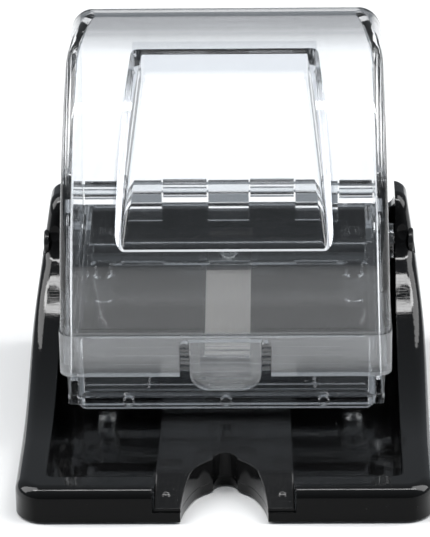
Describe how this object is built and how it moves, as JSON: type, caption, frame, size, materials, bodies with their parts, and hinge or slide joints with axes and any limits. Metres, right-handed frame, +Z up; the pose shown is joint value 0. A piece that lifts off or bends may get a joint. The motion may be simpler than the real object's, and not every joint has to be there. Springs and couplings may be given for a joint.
{
  "type": "toothpick dispenser",
  "caption": "Table-top push dispenser for wooden picks: glossy black tray with a ramp and finger notch, and a clear hinged lid over a clear hopper that rocks on two arms.",
  "frame": {"origin": "Middle of the base footprint, on the surface that the feet stand on.", "axes": "+Z up; the dispensing front faces -Y; X is the width and the symmetry axis."},
  "size_m": [0.0984, 0.1, 0.0963],
  "materials": {
    "black_abs": "high-gloss black ABS with fine scratches",
    "black_ramp": "black ABS, a little less glossy than the tray",
    "clear_lid": "clear styrene-acrylonitrile, faint blue-grey edge",
    "clear_hopper": "clear styrene-acrylonitrile, frosted at the knuckles",
    "spring_strip": "satin spring steel strip",
    "zinc_screw": "bright zinc-plated steel",
    "pin_black": "black acetal pin, satin head",
    "foot_rubber": "dark rubber pad"
  },
  "bodies": {
    "base": {"base_shell": "black_abs", "pick_ramp": "black_ramp", "ramp_screws": "zinc_screw", "pivot_pin_left": "pin_black", "pivot_pin_right": "pin_black", "leaf_spring": "spring_strip", "spring_clamp": "clear_hopper", "spring_screw": "zinc_screw", "foot_front_left": "foot_rubber", "foot_front_right": "foot_rubber", "foot_rear_left": "foot_rubber", "foot_rear_right": "foot_rubber"},
    "hopper_unit": {"hopper": "clear_hopper", "gate_bar": "clear_hopper", "hinge_rod": "clear_hopper"},
    "lid_unit": {"lid": "clear_lid"},
    "latch": {"latch_tab": "clear_lid"}
  },
  "joints": [
    {"name": "hopper_rock", "type": "hinge", "parent": "base", "child": "hopper_unit", "pos_m": [0, 0.037, 0.0335], "axis": [1, 0, 0], "range_deg": [0, 2.4], "stiffness_Nm_per_rad": 0.6, "springref_deg": -5.16, "deforming": ["leaf_spring"]},
    {"name": "lid_hinge", "type": "hinge", "parent": "hopper_unit", "child": "lid_unit", "pos_m": [0, 0.045, 0.0443], "axis": [-1, 0, 0], "range_deg": [0, 95]},
    {"name": "latch_flex", "type": "hinge", "parent": "lid_unit", "child": "latch", "pos_m": [0, -0.015, 0.0306], "axis": [-1, 0, 0], "range_deg": [0, 5], "stiffness_Nm_per_rad": 0.05}
  ]
}
